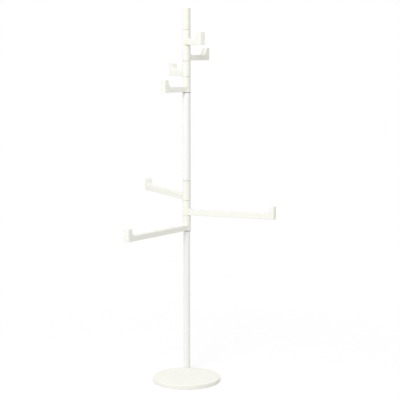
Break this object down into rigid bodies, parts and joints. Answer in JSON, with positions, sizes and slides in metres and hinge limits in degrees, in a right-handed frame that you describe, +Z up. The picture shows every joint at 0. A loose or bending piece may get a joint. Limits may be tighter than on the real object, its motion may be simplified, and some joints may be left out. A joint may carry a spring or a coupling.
{
  "type": "coat stand",
  "caption": "Free-standing coat stand: slim pole at the rear of a heavy round base, with long swivelling arms halfway up and short swivelling hooks at the top.",
  "frame": {"origin": "centre of the underside of the round base, on the floor", "axes": "+Z up along the pole, -Y towards the front, with the pole behind the origin at +Y"},
  "size_m": [0.6896, 0.7412, 1.7305],
  "materials": {
    "white_powder_coat": "satin powder coat",
    "warm_white_plastic": "fine satin moulding",
    "zinc_plated_steel": "zinc plated",
    "raw_steel_plate": "as rolled",
    "natural_nylon": "as moulded",
    "dark_grey_nylon": "as moulded",
    "black_foam": "closed-cell foam"
  },
  "bodies": {
    "stand": {"lower_tube": "white_powder_coat", "upper_tube": "white_powder_coat", "base_cover": "warm_white_plastic", "top_cap": "warm_white_plastic", "cover_screw_1": "zinc_plated_steel", "cover_screw_2": "zinc_plated_steel", "cover_screw_3": "zinc_plated_steel", "cover_screw_4": "zinc_plated_steel", "mast_bolt": "zinc_plated_steel", "mast_washer": "zinc_plated_steel", "foot_plug": "zinc_plated_steel", "lower_spindle": "zinc_plated_steel", "upper_spindle": "zinc_plated_steel", "base_weight": "raw_steel_plate", "upper_tube_foot": "natural_nylon", "arm_washer_1": "natural_nylon", "arm_washer_2": "natural_nylon", "arm_washer_3": "natural_nylon", "hook_washer_1": "natural_nylon", "hook_washer_2": "natural_nylon", "hook_washer_3": "natural_nylon", "hook_washer_4": "natural_nylon", "lower_tube_socket": "dark_grey_nylon", "upper_tube_head": "dark_grey_nylon", "floor_pad": "black_foam"},
    "arm_low": {"arm_low": "warm_white_plastic"},
    "arm_middle": {"arm_middle": "warm_white_plastic"},
    "arm_high": {"arm_high": "warm_white_plastic"},
    "hook_1": {"hook_1": "warm_white_plastic"},
    "hook_2": {"hook_2": "warm_white_plastic"},
    "hook_3": {"hook_3": "warm_white_plastic"},
    "hook_4": {"hook_4": "warm_white_plastic"}
  },
  "joints": [
    {"name": "arm_low_swivel", "type": "hinge", "parent": "stand", "child": "arm_low", "pos_m": [0, 0.16, 0.6874], "axis": [0, 0, 1], "continuous": true},
    {"name": "arm_middle_swivel", "type": "hinge", "parent": "stand", "child": "arm_middle", "pos_m": [0, 0.16, 0.7603], "axis": [0, 0, 1], "continuous": true},
    {"name": "arm_high_swivel", "type": "hinge", "parent": "stand", "child": "arm_high", "pos_m": [0, 0.16, 0.8332], "axis": [0, 0, 1], "continuous": true},
    {"name": "hook_1_swivel", "type": "hinge", "parent": "stand", "child": "hook_1", "pos_m": [0, 0.16, 1.3414], "axis": [0, 0, 1], "continuous": true},
    {"name": "hook_2_swivel", "type": "hinge", "parent": "stand", "child": "hook_2", "pos_m": [0, 0.16, 1.4143], "axis": [0, 0, 1], "continuous": true},
    {"name": "hook_3_swivel", "type": "hinge", "parent": "stand", "child": "hook_3", "pos_m": [0, 0.16, 1.4872], "axis": [0, 0, 1], "continuous": true},
    {"name": "hook_4_swivel", "type": "hinge", "parent": "stand", "child": "hook_4", "pos_m": [0, 0.16, 1.5601], "axis": [0, 0, 1], "continuous": true}
  ]
}
